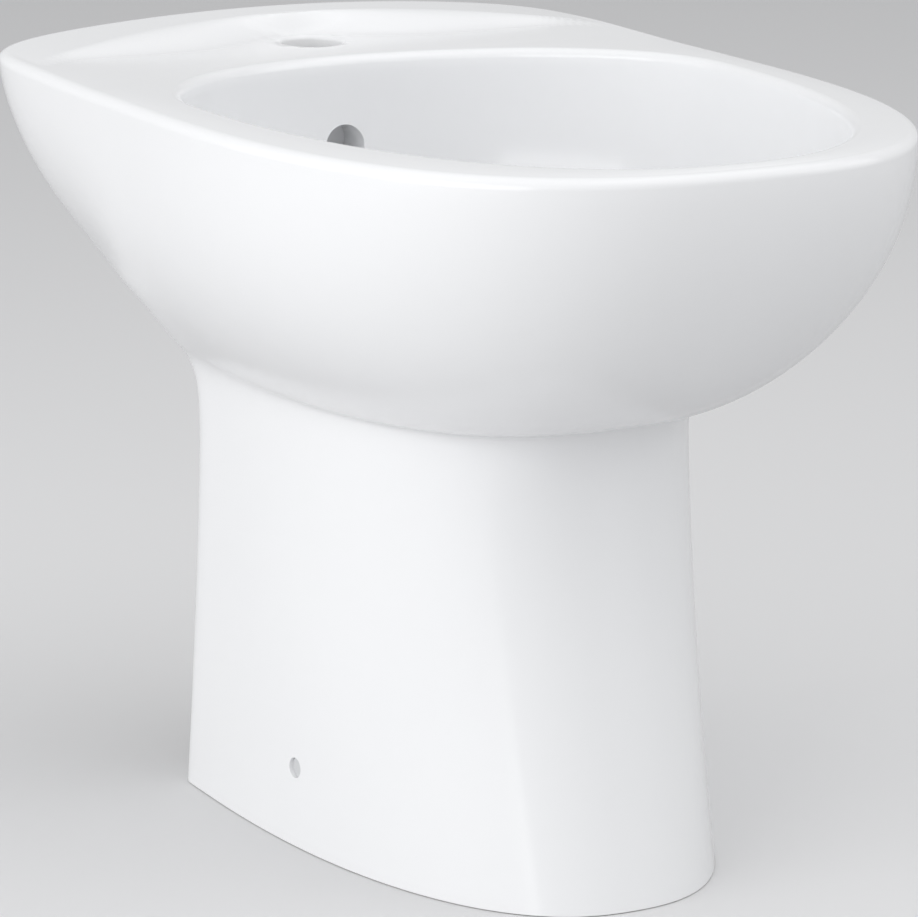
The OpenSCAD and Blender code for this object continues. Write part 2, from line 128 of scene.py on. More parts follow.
def hull(a, z, d=0.0):
    """Outside of the bowl at height z, between the crease and the rim."""
    t = np.clip((z - CREASE_Z) / (RIM_Z - CREASE_Z), 0, 1)
    front = np.cos(a) >= 0
    c = np.where(front, np.cos(a) ** 2, 1 - (np.sin(a) ** 2) ** 1.25)
    p, q = (mix(side, np.where(front, fore, aft), c) for side, fore, aft in (LEAVE, ARRIVE))
    share = (1 - (1 - t) ** p) ** (1 / q)
    return mix(oval(CREASE, a, d), oval(RIM, a, d), share[..., None])


def pedestal(a, z, d=0.0):
    """Outside of the pedestal at height z, between the foot and the crease."""
    share = np.clip(1 - z / CREASE_Z, 0, 1) ** SHAFT_CURVE
    return mix(oval(CREASE, a, d), oval(FOOT, a, d), share[..., None])


def basin(a, z, d=0.0):
    """Inside of the bowl at height z. Its back wall swells out a little below the edge."""
    edge = oval(BOWL, a)
    t = np.clip((z - BOWL_Z) / (RIM_Z + rise(edge[..., 0], edge[..., 1]) - EDGE_IN - BOWL_Z), 0, 1)
    share = (1 - (1 - t) ** BASIN_LEAVE) ** (1 / BASIN_ARRIVE)
    swell = SWELL * smooth(-np.cos(a)) * np.sin(np.pi * t ** 1.25)
    seat = np.stack([(SEAT_R + d) * np.sin(a), DRAIN_Y - (SEAT_R + d) * np.cos(a)], -1)
    return mix(seat, oval(BOWL, a, d + swell), share[..., None])


def spread_angles(count):
    """Angles round the outlines, closer together where a corner is tight."""
    fine = np.linspace(0, np.pi, 4001)
    cost = np.zeros(4000)
    for o, weight in ((RIM, 1.0), (FOOT, 0.8), (CREASE, 0.8)):
        step = np.diff(oval(o, fine), axis=0)
        bend = np.abs(np.diff(np.unwrap(np.arctan2(step[:, 1], step[:, 0])), prepend=0))
        bend[0] = 0
        cost += weight * (np.hypot(step[:, 0], step[:, 1]) + 0.06 * bend)
    total = np.concatenate([[0], np.cumsum(cost)])
    half = np.interp(np.linspace(0, total[-1], count // 2 + 1), total, fine)
    return np.concatenate([half, 2 * np.pi - half[-2:0:-1]])


ANGLES = spread_angles(AROUND)
A = ANGLES[None, :]


def lifted(xy, z):
    """Points of an outline at the height z."""
    return np.concatenate([xy, np.broadcast_to(z, xy.shape[:-1])[..., None]], -1)


band = np.hypot(*(oval(RIM, ANGLES) - oval(BOWL, ANGLES)).T)
inner_r = np.minimum(EDGE_IN, 0.3 * band)[None, :]
behind = np.degrees(np.minimum(ANGLES, 2 * np.pi - ANGLES))
outer_r = np.minimum(mix(EDGE_OUT, EDGE_BACK, smooth((behind - 132) / 16)), 0.6 * band)[None, :]

# Bowl, from the waste hole up to its rounded edge
t = np.linspace(0, 1, 40)[:, None] ** 1.5
z = mix(BOWL_Z, RIM_Z + rise(*np.moveaxis(oval(BOWL, A), -1, 0)) - inner_r, t)
bowl_rings = lifted(basin(A + 0 * z, z), z)
b = np.radians(np.arange(12, 91, 13))[:, None]
xy = oval(BOWL, A + 0 * b, inner_r * (1 - np.cos(b)))
edge_rings = lifted(xy, RIM_Z + rise(xy[..., 0], xy[..., 1]) - inner_r * (1 - np.sin(b)))

# Rim and tap deck
t = np.linspace(0.03, 1, 52)[:, None]
xy = mix(oval(BOWL, A, inner_r), hull(A, RIM_Z + 0 * A, -outer_r), t[..., None])
crown = CROWN * smooth((140 - behind) / 30)[None, :]
deck_rings = lifted(xy, RIM_Z + rise(xy[..., 0], xy[..., 1]) - crown * t * t)

# Outside, from the rounded rim edge down to the floor, sampled finely and
# then softened along each line where bowl and pedestal meet
top = RIM_Z + rise(*np.moveaxis(hull(A, RIM_Z + 0 * A, -outer_r), -1, 0)) - crown
z = top - outer_r * (1 - np.cos(b))
over_edge = lifted(hull(A + 0 * b, z, outer_r * (np.sin(b) - 1)), z)
t = (1 - np.linspace(0, 1, 260)[1:, None]) ** 1.9
z = mix(CREASE_Z, top - outer_r, t)
groove = mix(GROOVE_FRONT, GROOVE_BACK, ((1 - np.cos(A)) / 2) ** 2.2)


def fillet(z):
    """How far the outside stands proud near the crease, so that bowl and pedestal flow together."""
    return 0.4 * groove * np.exp(-np.abs(z - CREASE_Z) / groove)


share = (z - CREASE_Z) / (RIM_Z - CREASE_Z)
cheek = CHEEK * np.exp(-((behind - 120) / 18) ** 2 - ((share - 0.3) / 0.064) ** 2)
belly = lifted(hull(A + 0 * z, z, fillet(z) + cheek), z)
z = CREASE_Z * (1 - np.linspace(0, 1, 160)[1:, None]) + 0 * A
shaft = lifted(pedestal(A + 0 * z, z, fillet(z)), z)
line = np.concatenate([over_edge[-1:], belly, shaft])
step = np.linalg.norm(np.diff(line, axis=0), axis=-1)
along = np.concatenate([0 * step[:1], np.cumsum(step, 0)])
crease_at = along[len(belly)]
outside = np.empty((DOWN, AROUND, 3))
for j in range(AROUND):
    s = np.linspace(0, along[-1, j], SAMPLES)
    soft = mix(0.0035, 0.010, smooth(((1 - math.cos(ANGLES[j])) / 2) ** 1.2))
    width = soft * np.exp(-((s - crease_at[j]) / (0.012 + 2.2 * soft)) ** 2) + 1e-5
    pts = np.stack([np.interp(s, along[:, j], line[:, j, k]) for k in range(3)], -1)
    w = np.exp(-0.5 * ((s[:, None] - s[None, :]) / width[:, None]) ** 2)
    w /= w.sum(1, keepdims=True)
    pts = w @ pts
    dense = np.cumsum(0.35 + 2.2 * np.exp(-((s - crease_at[j]) / 0.022) ** 2))
    keep = np.interp(np.linspace(dense[0], dense[-1], DOWN), dense, s)
    for k in range(3):
        outside[:, j, k] = np.interp(keep, s, pts[:, k])
outside = outside[1:]
outside[-1, :, 2] = 0

# Inside of the pedestal, the hollow below the deck and the underside of the bowl
t = np.linspace(0, 1, 14)[:, None]
z = CREASE_Z * t + 0 * A
inside_rings = lifted(pedestal(A + 0 * t, z, -WALL), z)
hollow = mix(BOWL_Z + 0.008, DECK_Z, smooth((behind - 95) / 32))[None, :]
t = np.linspace(0.2, 1, 12)[:, None]
z = mix(CREASE_Z, hollow, t)
inner_hull = lifted(hull(A + 0 * t, z, -WALL), z)
t = np.array([0.33, 0.66])[:, None]
z = hollow + 0 * t
ceiling = lifted(mix(hull(A + 0 * t, z, -WALL), basin(A + 0 * t, z + WALL, WALL * 0.7), t[..., None]), z)
t = np.linspace(1, 0, 16)[:, None] ** 1.5
z = mix(BOWL_Z - WALL, hollow, t)
under_bowl = lifted(basin(A + 0 * t, z + WALL, WALL * 0.7), z)

glazed = [bowl_rings, edge_rings, deck_rings, over_edge, outside]
bare = [inside_rings, inner_hull, ceiling, under_bowl]
rings = np.concatenate(glazed + bare)
glazed_count = sum(len(r) for r in glazed)


def ring_mesh(name, rings):
    """A closed skin over rings that hold the same number of points."""
    count, around = rings.shape[:2]
    quads = []
    for i in range(count - 1):
        for j in range(around):
            k = (j + 1) % around
            quads.append((i * around + j, i * around + k, (i + 1) * around + k, (i + 1) * around + j))
    quads.append(tuple(range(around))[::-1])
    quads.append(tuple(range((count - 1) * around, count * around)))
    mesh = bpy.data.meshes.new(name)
    mesh.from_pydata(rings.reshape(-1, 3).tolist(), [], quads)
    mesh.update()
    return mesh


def new_piece(name, mesh):
    """An object of its own for a mesh."""
    piece = bpy.data.objects.new(name, mesh)
    scene.collection.objects.link(piece)
    return piece


def outward(mesh):
    """Merges the doubles of a closed mesh and turns its faces outwards."""
    bm = bmesh.new()
    bm.from_mesh(mesh)
    bmesh.ops.remove_doubles(bm, verts=bm.verts, dist=1e-7)
    bmesh.ops.recalc_face_normals(bm, faces=bm.faces)
    bm.to_mesh(mesh)
    bm.free()


def shade(piece, degrees):
    """Smooth shading that breaks only at edges sharper than this."""
    mesh = piece.data
    mesh.polygons.foreach_set("use_smooth", [True] * len(mesh.polygons))
    bm = bmesh.new()
    bm.from_mesh(mesh)
    for e in bm.edges:
        e.smooth = len(e.link_faces) != 2 or e.calc_face_angle(0) < math.radians(degrees)
    bm.to_mesh(mesh)
    bm.free()


def lathe(name, profile, steps, centre=(0, 0, 0), axis="Z"):
    """A turned solid from a profile of (radius, height) points, closed at the axis or back on itself."""
    turn = np.linspace(0, 2 * np.pi, steps, endpoint=False)
    profile = np.array(profile, float)
    bm = bmesh.new()
    loops = []
    for r, h in profile:
        if r < 1e-9:
            loops.append([bm.verts.new((0, 0, h))])
        else:
            loops.append([bm.verts.new((r * math.cos(v), r * math.sin(v), h)) for v in turn])
    closed = profile[0][0] > 1e-9 and profile[-1][0] > 1e-9
    pairs = list(zip(loops, loops[1:])) + ([(loops[-1], loops[0])] if closed else [])
    for low, high in pairs:
        for j in range(steps):
            k = (j + 1) % steps
            corner = [low[j % len(low)], low[k % len(low)], high[k % len(high)], high[j % len(high)]]
            corner = list(dict.fromkeys(corner))
            if len(corner) > 2:
                bm.faces.new(corner)
    if axis == "Y":
        bmesh.ops.rotate(bm, verts=bm.verts, matrix=Matrix.Rotation(math.radians(-90), 3, "X"))
    if axis == "X":
        bmesh.ops.rotate(bm, verts=bm.verts, matrix=Matrix.Rotation(math.radians(90), 3, "Y"))
    bmesh.ops.translate(bm, verts=bm.verts, vec=centre)
    bmesh.ops.recalc_face_normals(bm, faces=bm.faces)
    mesh = bpy.data.meshes.new(name)
    bm.to_mesh(mesh)
    bm.free()
    return new_piece(name, mesh)


def carve(piece, tool, operation="DIFFERENCE"):
    """Joins a tool to the piece, or cuts it out, and removes the tool."""
    m = piece.modifiers.new("carve", "BOOLEAN")
    m.operation, m.object, m.solver = operation, tool, "EXACT"
    m.material_mode = "TRANSFER"
    dg = bpy.context.evaluated_depsgraph_get()
    done = bpy.data.meshes.new_from_object(piece.evaluated_get(dg))
    piece.modifiers.remove(m)
    old, piece.data = piece.data, done
    bpy.data.meshes.remove(old)
    bpy.data.objects.remove(tool)


class Val:
    """A shader value: arithmetic on it adds Math nodes to its material."""

    def __init__(self, finish, socket):
        self.finish, self.socket = finish, socket

    def math(self, operation, first, second):
        return self.finish.node("Math", {"operation": operation}, first, second)

    def __add__(self, other): return self.math("ADD", self, other)
    def __radd__(self, other): return self.math("ADD", other, self)
    def __mul__(self, other): return self.math("MULTIPLY", self, other)
    def __rmul__(self, other): return self.math("MULTIPLY", other, self)


class Finish:
    """A material under construction, with one method that adds any node."""

    def __init__(self, name, **sockets):
        self.material = bpy.data.materials.new(name)
        self.material.use_nodes = True
        self.tree = self.material.node_tree
        self.surface = self.tree.nodes["Principled BSDF"]
        self.feed(**sockets)

    def join(self, value, socket):
        if isinstance(value, Val):
            self.tree.links.new(value.socket, socket)
        else:
            socket.default_value = value

    def node(self, kind, settings=None, *values, out=0, **sockets):
        """Adds a node: its settings first, then its sockets in order or by name."""
        n = self.tree.nodes.new("ShaderNode" + kind)
        for key, value in (settings or {}).items():
            if key == "stops":
                ramp = n.color_ramp
                while len(ramp.elements) < len(value):
                    ramp.elements.new(0.5)
                for element, (place, colour) in zip(ramp.elements, value):
                    element.position, element.color = place, (*colour, 1)
            else:
                setattr(n, key, value)
        for socket, value in zip(n.inputs, values):
            self.join(value, socket)
        for key, value in sockets.items():
            self.join(value, n.inputs[key.replace("_", " ")])
        return Val(self, n.outputs[out])

    def feed(self, **sockets):
        for key, value in sockets.items():
            self.join(value, self.surface.inputs[key.replace("_", " ")])
        return self.material


# Glaze: white with a cool cast, glossy, with the faint waves that a fired glaze keeps
glaze = Finish("white_glaze", IOR=1.5)
spot = glaze.node("TexCoord", out=3)
wave = glaze.node("TexNoise", Vector=spot, Scale=14.0, Detail=2.0)
mottle = glaze.node("TexNoise", Vector=spot, Scale=6.0, Detail=1.0)
tint = glaze.node("ValToRGB", {"stops": [(0.3, (0.862, 0.867, 0.878)), (0.7, (0.876, 0.881, 0.890))]},
                  Fac=mottle)
glaze.feed(Base_Color=tint, Roughness=0.15 + wave * 0.05,
           Normal=glaze.node("Bump", Strength=0.04, Distance=0.002, Height=wave))

# Bare china: the dull fired body on the foot, inside the pedestal and on the cut back
bare_china = Finish("bare_china", IOR=1.5)
spot = bare_china.node("TexCoord", out=3)
grain = bare_china.node("TexNoise", Vector=spot, Scale=900.0, Detail=3.0)
stain = bare_china.node("TexNoise", Vector=spot, Scale=11.0, Detail=4.0)
tint = bare_china.node("ValToRGB", {"stops": [(0.35, (0.69, 0.67, 0.63)), (0.65, (0.78, 0.765, 0.73))]},
                       Fac=stain)
bare_china.feed(Base_Color=tint, Roughness=0.55 + grain * 0.3,
                Normal=bare_china.node("Bump", Strength=0.25, Distance=0.0006, Height=grain))

china = new_piece("china_body", ring_mesh("china_body", rings))
china.data.materials.append(glaze.material)
china.data.materials.append(bare_china.material)
bare_face = np.zeros(len(china.data.polygons), int)
bare_face[(glazed_count - 1) * AROUND:] = 1
bare_face[-2] = 0
china.data.polygons.foreach_set("material_index", bare_face.tolist())
outward(china.data)


def tooled(piece, finish):
    """Gives a piece its material, or a cutter the material of the faces that it leaves."""
    piece.data.materials.append(finish)
    return piece


def rod(name, p, q, r, past, finish):
    """A round bar of radius r from p to q and a little past it."""
    d = Vector(q) - Vector(p)
    piece = lathe(name, [(0, 0), (r, 0), (r, d.length + past), (0, d.length + past)], 48)
    piece.data.transform(Matrix.Translation(p) @ d.to_track_quat("Z", "Y").to_matrix().to_4x4())
    return tooled(piece, finish)


# The open back, cut from the wall side: straight sides and a round top. Up to
# BACK_LOW the cutter's front is upright, and above it follows the china.
BACK_HALF, BACK_TOP, BACK_LOW, BACK_FRONT, PAST_BACK = 0.084, 0.352, 0.2235, 0.1147, 0.29


def back_cut(z):
    """Where the cutter's front lies between the bowl's underside and the back wall."""
    low = basin(np.array([np.pi]), np.array([z + WALL]), WALL * 0.7)[0, 1]
    high = hull(np.array([np.pi]), np.array([z]), -WALL)[0, 1]
    return mix(low, high, 0.4)


arch_z = BACK_TOP - BACK_HALF
heights = [-0.001, 0.05, 0.1, 0.15, 0.2, BACK_LOW, CREASE_Z] + list(np.linspace(0.25, arch_z, 4))
outline = [(BACK_HALF, h) for h in heights]
outline += [(BACK_HALF * math.cos(v), arch_z + BACK_HALF * math.sin(v))
            for v in np.radians(np.arange(5, 90, 5))]
outline.append((0.004, arch_z + BACK_HALF))
bm = bmesh.new()
grid = []
for w, h in outline:
    y = BACK_FRONT if h <= BACK_LOW else back_cut(max(h, CREASE_Z))
    grid.append([bm.verts.new(p) for p in ((-w, y, h), (w, y, h), (w, PAST_BACK, h), (-w, PAST_BACK, h))])
for low, high in zip(grid, grid[1:]):
    for k in range(4):
        bm.faces.new((low[k], low[(k + 1) % 4], high[(k + 1) % 4], high[k]))
bm.faces.new(grid[0][::-1])
bm.faces.new(grid[-1])
bmesh.ops.recalc_face_normals(bm, faces=bm.faces)
mesh = bpy.data.meshes.new("open_back")
bm.to_mesh(mesh)
bm.free()
carve(china, tooled(new_piece("open_back", mesh), bare_china.material))

# Boss round the waste hole and the overflow channel behind the bowl
BOSS_Z, OVERFLOW_Z, OVERFLOW_R = 0.224, 0.345, 0.0115
DROP_R, DROP_OUT, RUN_R, RUN_OUT, STUB_OUT = 0.008, 0.0125, 0.0076, 0.0121, 0.0155
overflow_y = basin(np.array([np.pi]), np.array([OVERFLOW_Z]))[0, 1]
bend_y = basin(np.array([np.pi]), np.array([BOWL_Z + 0.022]))[0, 1] + WALL + 0.018
channel = [(0, overflow_y + WALL * 0.8 + 0.008, OVERFLOW_Z), (0, bend_y, BOWL_Z + 0.010),
           (0, DRAIN_Y + 0.021, BOSS_Z + 0.011)]
boss = lathe("boss", [(0, 0), (0.036, 0), (0.038, 0.002), (0.038, 0.032), (0, 0.032)], 72,
             (0, DRAIN_Y, BOSS_Z))
carve(china, tooled(boss, bare_china.material), "UNION")
carve(china, rod("drop", channel[0], channel[1], DROP_OUT, 0.0065, bare_china.material), "UNION")
carve(china, rod("run", channel[2], channel[1], RUN_OUT, 0.0065, bare_china.material), "UNION")
carve(china, rod("stub", (0, overflow_y + 0.004, OVERFLOW_Z), (0, channel[0][1] + 0.012, OVERFLOW_Z),
                 STUB_OUT, 0, bare_china.material), "UNION")
carve(china, rod("drop_bore", channel[0], channel[1], DROP_R, 0.004, glaze.material))
carve(china, rod("run_bore", channel[2], channel[1], RUN_R, 0.004, glaze.material))

# Overflow hole with its soft edge
reach = channel[0][1] + 0.007 - overflow_y
mouth = [(0, -0.02), (0.017, -0.02), (0.0148, -0.0022)]
mouth += [(OVERFLOW_R + 0.0022 * (1 - math.sin(v)), -0.0022 + 0.0030 * (1 - math.cos(v)))
          for v in np.radians(np.arange(15, 91, 15))]
mouth += [(OVERFLOW_R, reach), (0, reach)]
carve(china, tooled(lathe("overflow_bore", mouth, 72, (0, overflow_y, OVERFLOW_Z), "Y"), glaze.material))

# Tap hole with its rounded edge, which follows the fall of the deck
TAP_Y, TAP_R, TAP_ROUND = 0.213, 0.0175, 0.0024
edge = [(0, 0.014), (0.0212, 0.014), (0.0204, 0.0006)]
edge += [(TAP_R + TAP_ROUND * (1 - math.cos(v)), -TAP_ROUND + TAP_ROUND * math.sin(v))
         for v in np.radians(np.arange(78, -1, -13))]
edge += [(TAP_R, -0.03), (0, -0.03)]
tap_bore = tooled(lathe("tap_bore", edge, 96, (0, TAP_Y, RIM_Z)), glaze.material)
for v in tap_bore.data.vertices:
    v.co.z -= DECK_FALL * (FALL_FROM - v.co.y)
carve(china, tap_bore)

# Waste hole and the two side fixing holes
DRAIN_R, FIXING_R, FIXING_X, FIXING_Y, FIXING_Z = 0.023, 0.0055, 0.104, 0.0075, 0.043
drain = lathe("drain_bore", [(0, -0.045), (DRAIN_R, -0.045), (DRAIN_R, 0.01), (0, 0.01)], 96,
              (0, DRAIN_Y, BOWL_Z))
carve(china, tooled(drain, glaze.material))
for side in (-1, 1):
    hole = lathe("side_bore", [(0, -0.03), (FIXING_R, -0.03), (FIXING_R, 0.03), (0, 0.03)], 48,
                 (side * FIXING_X, FIXING_Y, FIXING_Z), "X")
    carve(china, tooled(hole, glaze.material))
shade(china, 34)
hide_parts("ceramic_body")
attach(china, "base")

# ---------------------------------------------------------------------------
# Waste: a chromed brass tube, turned with a wide flange that seats in the
# bowl, a threaded tail for the trap, four overflow slots and a cross that
# carries the click cartridge.
# ---------------------------------------------------------------------------
WASTE = (0.0, DRAIN_Y)
FLANGE_Z, FLANGE_TOP, FLANGE_R, TAIL_Z = 0.2635, 0.2665, 0.032, 0.180
TUBE_R, TUBE_IN, PITCH, THREAD_TOP, THREAD_DEEP = 0.02095, 0.01805, 0.00231, 0.2380, 0.0011
CROSS_LOW, CROSS_TOP, HUB_R = 0.228, 0.236, 0.008


def soften(piece, width):
    """Breaks the sharp edges of a piece with a small round."""
    bm = bmesh.new()
    bm.from_mesh(piece.data)
    sharp = [e for e in bm.edges if len(e.link_faces) == 2 and e.calc_face_angle(0) > math.radians(40)]
    bmesh.ops.bevel(bm, geom=sharp, offset=width, segments=2, profile=0.5, affect="EDGES",
                    clamp_overlap=True)
    bm.to_mesh(piece.data)
    bm.free()
    shade(piece, 50)


def arc(cx, cy, r, start, end, steps):
    """Points of a circular arc in a profile, angles in degrees."""
    return [(cx + r * math.cos(math.radians(v)), cy + r * math.sin(math.radians(v)))
            for v in np.linspace(start, end, steps)]


def thread(piece, r, low, high, depth, centre):
    """Turns the rows of a round wall at radius r into a screw thread between two heights."""
    co = np.empty(len(piece.data.vertices) * 3)
    piece.data.vertices.foreach_get("co", co)
    co = co.reshape(-1, 3)
    x, y = co[:, 0] - centre[0], co[:, 1] - centre[1]
    here = (np.abs(np.hypot(x, y) - r) < 1e-5) & (co[:, 2] > low) & (co[:, 2] < high)
    step = (co[:, 2] - low) / PITCH - np.arctan2(y, x) / (2 * np.pi)
    wave = np.abs(2 * (step - np.floor(step)) - 1)
    fade = np.clip(np.minimum(co[:, 2] - low, high - co[:, 2]) / PITCH, 0, 1)
    scale = 1 - depth * wave * fade / r
    co[here, 0] = centre[0] + (x * scale)[here]
    co[here, 1] = centre[1] + (y * scale)[here]
    piece.data.vertices.foreach_set("co", co.ravel())


chrome = Finish("chrome_plate", Metallic=1.0)
spot = chrome.node("TexCoord", out=3)
haze = chrome.node("TexNoise", Vector=spot, Scale=55.0, Detail=4.0)
ripple = chrome.node("TexNoise", Vector=spot, Scale=160.0, Detail=1.0)
tint = chrome.node("ValToRGB", {"stops": [(0.3, (0.74, 0.75, 0.77)), (0.7, (0.82, 0.83, 0.845))]},
                   Fac=haze)
chrome.feed(Base_Color=tint, Roughness=0.05 + haze * 0.07,
            Normal=chrome.node("Bump", Strength=0.05, Distance=0.0005, Height=ripple))

rows = np.arange(TAIL_Z + 0.0006, 0.2585, PITCH / 6)
profile = [(TUBE_R - 0.0006, TAIL_Z)] + [(TUBE_R, h) for h in rows]
profile += [(TUBE_R, FLANGE_Z), (FLANGE_R - 0.0012, FLANGE_Z)]
profile += arc(FLANGE_R - 0.0014, FLANGE_Z + 0.0014, 0.0014, -80, 60, 8)
profile += [(0.0290, 0.26645), (0.0270, FLANGE_TOP), (0.0222, FLANGE_TOP), (0.0215, 0.2663)]
profile += [(0.0190, 0.2640), (0.01825, 0.2626), (TUBE_IN, 0.2610), (TUBE_IN, 0.2300)]
profile += [(TUBE_IN, 0.2240), (TUBE_IN, TAIL_Z)]
waste = lathe("waste_tube", profile, 120, (*WASTE, 0))
thread(waste, TUBE_R, TAIL_Z + 0.0003, THREAD_TOP, THREAD_DEEP, WASTE)
tooled(waste, chrome.material)


def block(name, low, high, turned, centre, finish):
    """A box between two corners, turned about the upright axis through a centre."""
    bm = bmesh.new()
    bmesh.ops.create_cube(bm, size=1.0)
    low, high = Vector(low), Vector(high)
    bmesh.ops.scale(bm, verts=bm.verts, vec=high - low)
    bmesh.ops.translate(bm, verts=bm.verts, vec=(low + high) / 2)
    bmesh.ops.rotate(bm, verts=bm.verts, matrix=Matrix.Rotation(math.radians(turned), 3, "Z"))
    bmesh.ops.translate(bm, verts=bm.verts, vec=(*centre, 0))
    mesh = bpy.data.meshes.new(name)
    bm.to_mesh(mesh)
    bm.free()
    return tooled(new_piece(name, mesh), finish)


for turned in (45, 135, 225, 315):
    carve(waste, block("slot_cut", (0.015, -0.006, 0.240), (0.024, 0.006, 0.250), turned, WASTE,
                       chrome.material))
for turned in (0, 90):
    arm = block("arm", (-0.0187, -0.0015, CROSS_LOW), (0.0187, 0.0015, CROSS_TOP), turned, WASTE,
                chrome.material)
    soften(arm, 0.0003)
    carve(waste, arm, "UNION")
profile = [(0, CROSS_LOW), (0.0074, CROSS_LOW), (HUB_R, 0.2286), (HUB_R, 0.2354), (0.0074, CROSS_TOP)]
profile.append((0, CROSS_TOP))
carve(waste, tooled(lathe("hub", profile, 64, (*WASTE, 0)), chrome.material), "UNION")
profile = [(0, 0.22), (0.005, 0.22), (0.005, 0.24), (0, 0.24)]
carve(waste, tooled(lathe("hub_bore", profile, 64, (*WASTE, 0)), chrome.material))
shade(waste, 35)
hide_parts("waste_body")
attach(waste, "base")

# ---------------------------------------------------------------------------
# Gaskets and slip washer: a flat rubber ring under the flange, a tapered
# rubber ring below the china, and a nylon washer that the back nut turns on.
# ---------------------------------------------------------------------------
rubber = Finish("black_rubber", IOR=1.5)
spot = rubber.node("TexCoord", out=3)
bloom = rubber.node("TexNoise", Vector=spot, Scale=70.0, Detail=5.0)
skin = rubber.node("TexNoise", Vector=spot, Scale=1400.0, Detail=2.0)
tint = rubber.node("ValToRGB", {"stops": [(0.35, (0.018, 0.019, 0.020)), (0.75, (0.050, 0.051, 0.053))]},
                   Fac=bloom)
rubber.feed(Base_Color=tint, Roughness=0.5 + bloom * 0.25,
            Normal=rubber.node("Bump", Strength=0.3, Distance=0.0002, Height=skin))

nylon = Finish("moulded_plastic", IOR=1.46)
spot = nylon.node("TexCoord", out=3)
flow = nylon.node("TexNoise", Vector=spot, Scale=24.0, Detail=3.0)
grain = nylon.node("TexNoise", Vector=spot, Scale=1100.0, Detail=2.0)
tint = nylon.node("ValToRGB", {"stops": [(0.3, (0.735, 0.745, 0.745)), (0.7, (0.79, 0.80, 0.80))]},
                  Fac=flow)
nylon.feed(Base_Color=tint, Roughness=0.34 + flow * 0.16,
           Normal=nylon.node("Bump", Strength=0.2, Distance=0.0002, Height=grain))

RING_IN = 0.021


def washer(name, low, high, low_r, high_r, edge, finish, node):
    """A ring with rounded outer edges, wider at one end where it is tapered."""
    loop = [(RING_IN, low), (low_r - edge, low), (low_r - edge * 0.3, low + edge * 0.3),
            (low_r, low + edge), (high_r, high - edge), (high_r - edge * 0.3, high - edge * 0.3),
            (high_r - edge, high), (RING_IN, high)]
    piece = tooled(lathe(name, loop, 96, (*WASTE, 0)), finish)
    shade(piece, 50)
    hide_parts(node)
    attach(piece, "base")


washer("flange_seal", 0.262, 0.2635, 0.031, 0.031, 0.0005, rubber.material, "flange_gasket")
washer("body_seal", 0.218, 0.224, 0.033, 0.031, 0.0012, rubber.material, "body_gasket")
washer("nylon_washer", 0.216, 0.218, 0.033, 0.033, 0.0005, nylon.material, "slip_washer")

# ---------------------------------------------------------------------------
# Back nut: a cast and faced brass hexagon that draws the waste down on the
# china. It is screwed up the tail from below, and its corners are turned down.
# ---------------------------------------------------------------------------
brass = Finish("turned_brass", Metallic=1.0)
spot = brass.node("TexCoord", out=3)
rings_along = brass.node("Mapping", Vector=spot, Scale=(30.0, 30.0, 2600.0))
lines = brass.node("TexNoise", Vector=rings_along, Scale=1.0, Detail=2.0)
patina = brass.node("TexNoise", Vector=spot, Scale=80.0, Detail=5.0)
tint = brass.node("ValToRGB", {"stops": [(0.3, (0.50, 0.34, 0.13)), (0.7, (0.74, 0.56, 0.27))]},
                  Fac=patina)
brass.feed(Base_Color=tint, Roughness=0.2 + patina * 0.2,
           Normal=brass.node("Bump", Strength=0.15, Distance=0.0002, Height=lines))

NUT_ACROSS, NUT_LOW, NUT_TOP, CHAMFER = 0.052, 0.206, 0.216, 0.0022
NUT_IN, NUT_MOUTH = 0.021, 0.0222
corner = NUT_ACROSS / 2 / math.cos(math.radians(30))
flat = NUT_ACROSS / 2 - 0.0002
blank = [(0, NUT_LOW), (corner, NUT_LOW), (corner, NUT_TOP), (0, NUT_TOP)]
nut = tooled(lathe("brass_back_nut", blank, 6, (*WASTE, 0)), brass.material)
cone = [(0, NUT_LOW - 0.001), (flat, NUT_LOW - 0.001), (flat, NUT_LOW), (corner + 0.0004, NUT_LOW + CHAMFER)]
cone += [(corner + 0.0004, NUT_TOP - CHAMFER), (flat, NUT_TOP), (flat, NUT_TOP + 0.001), (0, NUT_TOP + 0.001)]
carve(nut, tooled(lathe("cone", cone, 96, (*WASTE, 0)), brass.material), "INTERSECT")
bore = [(0, 0.2), (NUT_MOUTH, 0.2), (NUT_MOUTH, 0.2062), (NUT_IN, 0.2074), (NUT_IN, 0.2146)]
bore += [(NUT_MOUTH, 0.2158), (NUT_MOUTH, 0.22), (0, 0.22)]
carve(nut, tooled(lathe("bore", bore, 96, (*WASTE, 0)), brass.material))
shade(nut, 30)
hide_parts("backnut")
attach(nut, "base")

# ---------------------------------------------------------------------------
# Click cartridge: a turned brass housing screwed into the cross of the waste,
# with the sliding stem of the plug inside it, and below the stem a zinc plated
# spring.
# ---------------------------------------------------------------------------
profile = [(0, 0.2281), (0.0046, 0.2281), (0.00495, 0.2285), (0.00495, 0.236), (0.0062, 0.236)]
profile += [(0.0066, 0.2364), (0.0066, 0.2440), (0.0061, 0.2445), (0.0061, 0.2475), (0.0066, 0.2480)]
profile += [(0.0066, 0.2560), (0.0060, 0.2566), (0.0060, 0.2578), (0.0066, 0.2584), (0.0066, 0.2600)]
profile += [(0.0061, 0.2605), (0.0046, 0.2605), (0.0041, 0.2600), (0.0041, 0.2385), (0, 0.2385)]
housing = tooled(lathe("cartridge_shell", profile, 72, (*WASTE, 0)), brass.material)
shade(housing, 35)
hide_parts("cartridge_housing")
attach(housing, "base")

